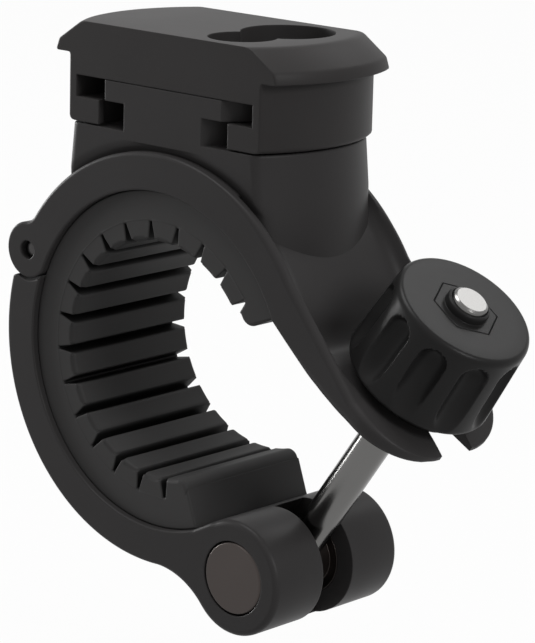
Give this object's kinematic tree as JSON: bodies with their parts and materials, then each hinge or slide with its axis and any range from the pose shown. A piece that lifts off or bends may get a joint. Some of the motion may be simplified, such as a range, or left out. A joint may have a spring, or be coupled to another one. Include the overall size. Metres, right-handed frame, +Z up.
{
  "type": "bike light bracket",
  "caption": "Hinged round handlebar clamp with a grooved rubber liner, a swing bolt with a fluted knob, and a turning head with a lipped, keyholed top for a light.",
  "frame": {"origin": "The centre of the handlebar bore, halfway between the clamp's two flat sides.", "axes": "+Z is up, through the mount head. +Y runs along the handlebar. +X points to the side with the swing bolt and the knob."},
  "size_m": [0.0774, 0.0242, 0.0774],
  "materials": {
    "clamp_plastic": "near-black glass-filled plastic with a soft satin moulded face",
    "head_plastic": "near-black satin moulded plastic",
    "knob_plastic": "near-black satin plastic, slightly smoother than the clamp",
    "liner_rubber": "dull black rubber with a faint sheen on the crests",
    "bolt_steel": "bright turned steel, end face polished",
    "barrel_steel": "dark, slightly brown steel with a bright edge",
    "pin_steel": "plain bright steel"
  },
  "bodies": {
    "clamp": {"upper_clamp": "clamp_plastic", "upper_liner": "liner_rubber", "hinge_pin": "pin_steel"},
    "jaw": {"lower_jaw": "clamp_plastic", "lower_liner": "liner_rubber"},
    "bolt": {"cross_barrel": "barrel_steel", "swing_bolt": "bolt_steel"},
    "washer": {"seat_washer": "pin_steel"},
    "knob": {"knob": "knob_plastic", "knob_insert": "barrel_steel"},
    "head": {"mount_head": "head_plastic", "swivel_screw": "pin_steel"}
  },
  "joints": [
    {"name": "jaw_open", "type": "hinge", "parent": "clamp", "child": "jaw", "pos_m": [-0.02393, 0, 0.01116], "axis": [0, 1, 0], "range_deg": [0, 8.45]},
    {"name": "bolt_swing", "type": "hinge", "parent": "jaw", "child": "bolt", "pos_m": [0.01508, 0, -0.02634], "axis": [0, 1, 0], "range_deg": [0, 60]},
    {"name": "knob_travel", "type": "slide", "parent": "bolt", "child": "washer", "axis": [0.5736, 0, 0.8192], "range_m": [0, 0.00852]},
    {"name": "knob_spin", "type": "hinge", "parent": "washer", "child": "knob", "pos_m": [0.0386, 0, 0.00725], "axis": [0.5736, 0, 0.8192], "range_deg": [0, 3840]},
    {"name": "head_swivel", "type": "hinge", "parent": "clamp", "child": "head", "pos_m": [0, 0, 0.034], "axis": [0, 0, 1], "range_deg": [-27, 27]}
  ],
  "couplings": [
    {"joint": "knob_spin", "follows": "knob_travel", "rad_per_m": 7854},
    {"joint": "jaw_open", "follows": "knob_travel", "rad_per_m": 17.241}
  ]
}
